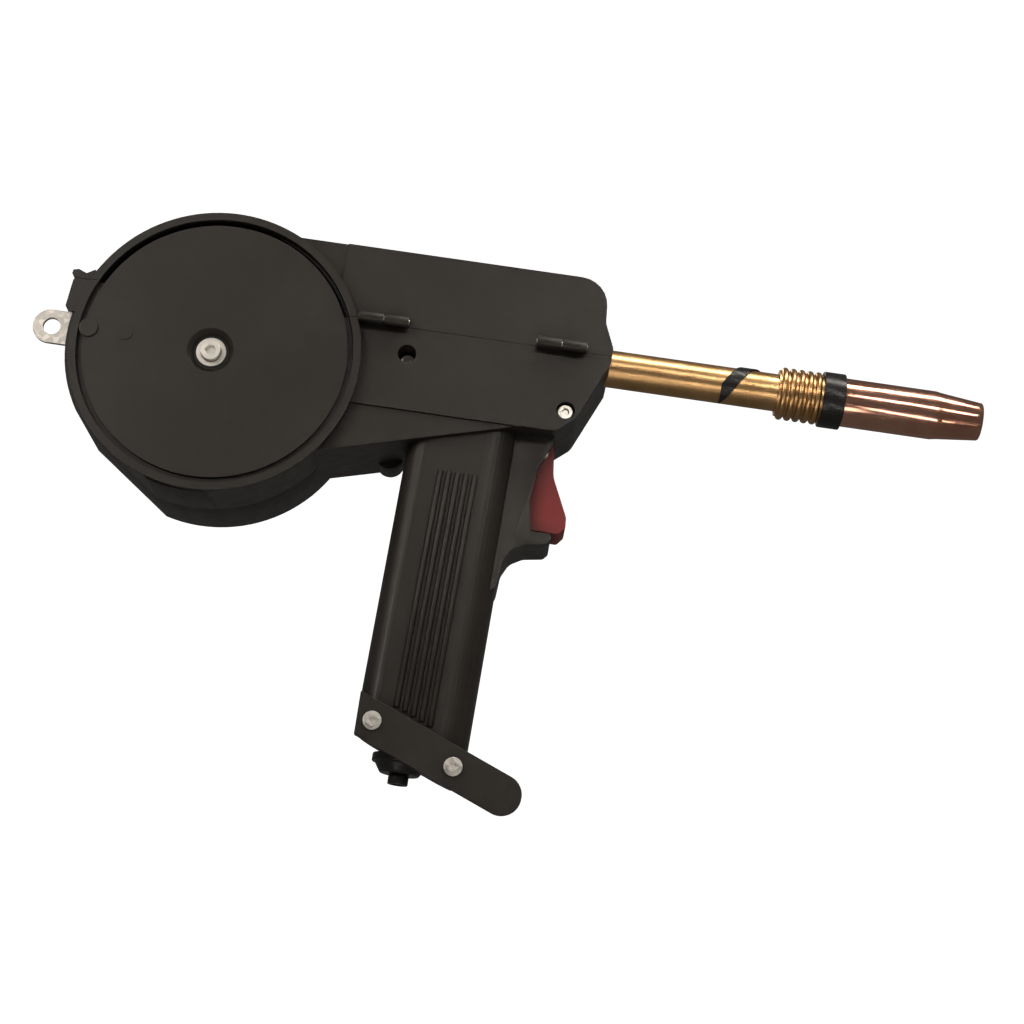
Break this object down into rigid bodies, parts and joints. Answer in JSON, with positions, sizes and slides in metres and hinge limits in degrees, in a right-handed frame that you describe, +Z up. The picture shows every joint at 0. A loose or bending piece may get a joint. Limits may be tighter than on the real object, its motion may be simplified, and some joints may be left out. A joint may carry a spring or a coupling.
{
  "type": "mig welding torch",
  "caption": "Pistol-grip MIG spool gun: a wire spool drum with hinged cover, drive body, motor grip with trigger, brass barrel and copper gas nozzle.",
  "frame": {"origin": "centre of the inlet nipple mouth under the grip", "axes": "+X along the barrel towards the nozzle, +Z up, -Y the side with the spool disc"},
  "size_m": [0.4115, 0.0653, 0.2399],
  "materials": {
    "shell_plastic": "fine grained black plastic",
    "black_plastic": "smooth black",
    "trigger_red": "dark red plastic",
    "brass": "polished",
    "copper": "polished copper",
    "steel": "bright zinc plated",
    "galvanised": "galvanised",
    "alloy": "machined",
    "wire_alloy": "drawn wire",
    "switch_red": "moulded",
    "liner_plastic": "natural",
    "lead_red": "cable jacket",
    "hose_blue": "gas hose"
  },
  "bodies": {
    "housing": {"left_shell": "shell_plastic", "right_shell": "shell_plastic", "hinge_pins": "steel", "hanger_tab": "galvanised", "tab_screws": "steel", "housing_screws": "steel", "foot_strap": "shell_plastic", "foot_screws": "steel", "foot_washers": "steel", "cable_gland": "black_plastic", "inlet_nipple": "black_plastic", "trigger_pin": "steel", "trigger_spring": "steel", "micro_switch": "black_plastic", "barrel": "brass", "barrel_band": "black_plastic", "wire_liner": "liner_plastic", "nozzle_nut": "brass", "insulator_ring": "black_plastic", "nozzle": "copper", "gas_diffuser": "brass", "contact_tip": "copper", "conductor_block": "brass", "block_screws": "steel", "feed_plate": "alloy", "plate_screws": "steel", "motor_can": "steel", "motor_end_cap": "black_plastic", "gearbox": "alloy", "arm_pin": "steel", "arm_spring": "steel", "inlet_guide": "brass", "outlet_guide": "brass", "weld_wire": "wire_alloy", "spindle": "steel", "spindle_screw": "steel", "spindle_washer": "steel", "brake_washer": "brass", "brake_spring": "steel", "current_lead": "lead_red", "gas_tube": "hose_blue"},
    "cover": {"top_cover": "shell_plastic"},
    "trigger": {"trigger": "trigger_red"},
    "plunger": {"switch_plunger": "switch_red"},
    "spool": {"spool": "black_plastic", "wire_winding": "wire_alloy"},
    "drive_roll": {"drive_roll": "steel", "roll_screw": "steel", "output_shaft": "steel"},
    "arm": {"pressure_arm": "alloy", "idler_pin": "steel"},
    "idler": {"idler_roll": "steel"}
  },
  "joints": [
    {"name": "cover_hinge", "type": "hinge", "parent": "housing", "child": "cover", "pos_m": [-0.006, -0.0285, 0.1925], "axis": [1, 0, 0], "range_deg": [0, 110]},
    {"name": "trigger_pivot", "type": "hinge", "parent": "housing", "child": "trigger", "pos_m": [0.0405, 0, 0.148], "axis": [0, 1, 0], "range_deg": [0, 5], "stiffness_Nm_per_rad": 1.2, "springref_deg": -6.88},
    {"name": "plunger_slide", "type": "slide", "parent": "housing", "child": "plunger", "axis": [-1, 0, 0], "range_m": [0, 0.0022]},
    {"name": "spool_spin", "type": "hinge", "parent": "housing", "child": "spool", "pos_m": [-0.106, 0.004, 0.168], "axis": [0, 1, 0], "continuous": true},
    {"name": "drive_roll_spin", "type": "hinge", "parent": "housing", "child": "drive_roll", "pos_m": [0.006, 0, 0.18205], "axis": [0, 1, 0], "continuous": true},
    {"name": "arm_pivot", "type": "hinge", "parent": "housing", "child": "arm", "pos_m": [0.03, 0, 0.206], "axis": [0, 1, 0], "range_deg": [0, 12], "stiffness_Nm_per_rad": 0.6, "springref_deg": -17.19},
    {"name": "idler_spin", "type": "hinge", "parent": "arm", "child": "idler", "pos_m": [0.006, 0, 0.204], "axis": [0, 1, 0], "continuous": true}
  ],
  "couplings": [
    {"joint": "plunger_slide", "follows": "trigger_pivot", "m_per_rad": 0.024},
    {"joint": "drive_roll_spin", "follows": "spool_spin", "ratio": 3.2208},
    {"joint": "idler_spin", "follows": "spool_spin", "ratio": -4.2944}
  ]
}
